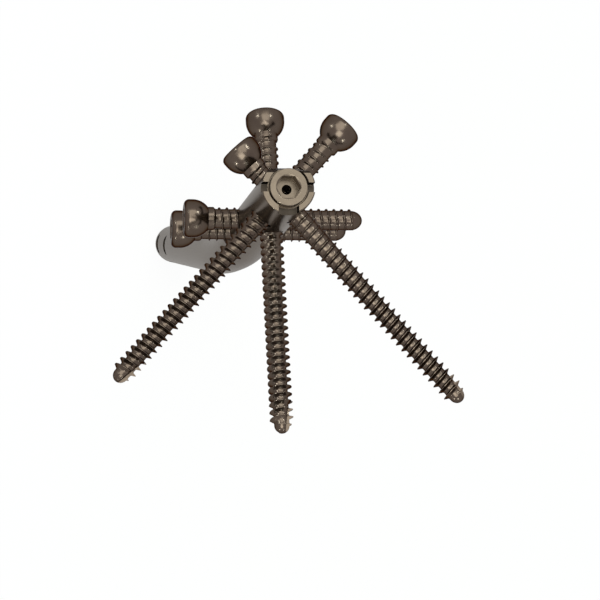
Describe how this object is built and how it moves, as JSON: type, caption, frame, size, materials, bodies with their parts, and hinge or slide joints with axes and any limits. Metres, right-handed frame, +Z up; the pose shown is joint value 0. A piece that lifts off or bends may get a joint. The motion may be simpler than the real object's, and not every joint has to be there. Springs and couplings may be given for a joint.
{
  "type": "tibial intramedullary nail",
  "caption": "Bent, hollow bone nail with a notched driving end, a flush hexagon-socket end cap and threaded locking screws set crosswise near the top.",
  "frame": {"origin": "centre of the nail's far tip, on the axis of the straight shaft, at the mouth of the guide wire bore", "axes": "+Z up the straight shaft towards the driving end, +Y to the front of the leg, where the near segment leans, +X to the side that the side screws point to"},
  "size_m": [0.073, 0.0683, 0.2545],
  "materials": {
    "nail_metal": "satin anodised titanium alloy",
    "cap_metal": "satin anodised titanium alloy",
    "screw_metal": "satin anodised titanium alloy"
  },
  "bodies": {
    "root": {"nail": "nail_metal", "end_cap": "cap_metal", "oblique_screw_right": "screw_metal", "oblique_screw_left": "screw_metal", "front_screw": "screw_metal", "side_screw_upper": "screw_metal", "side_screw_lower": "screw_metal"}
  },
  "joints": []
}
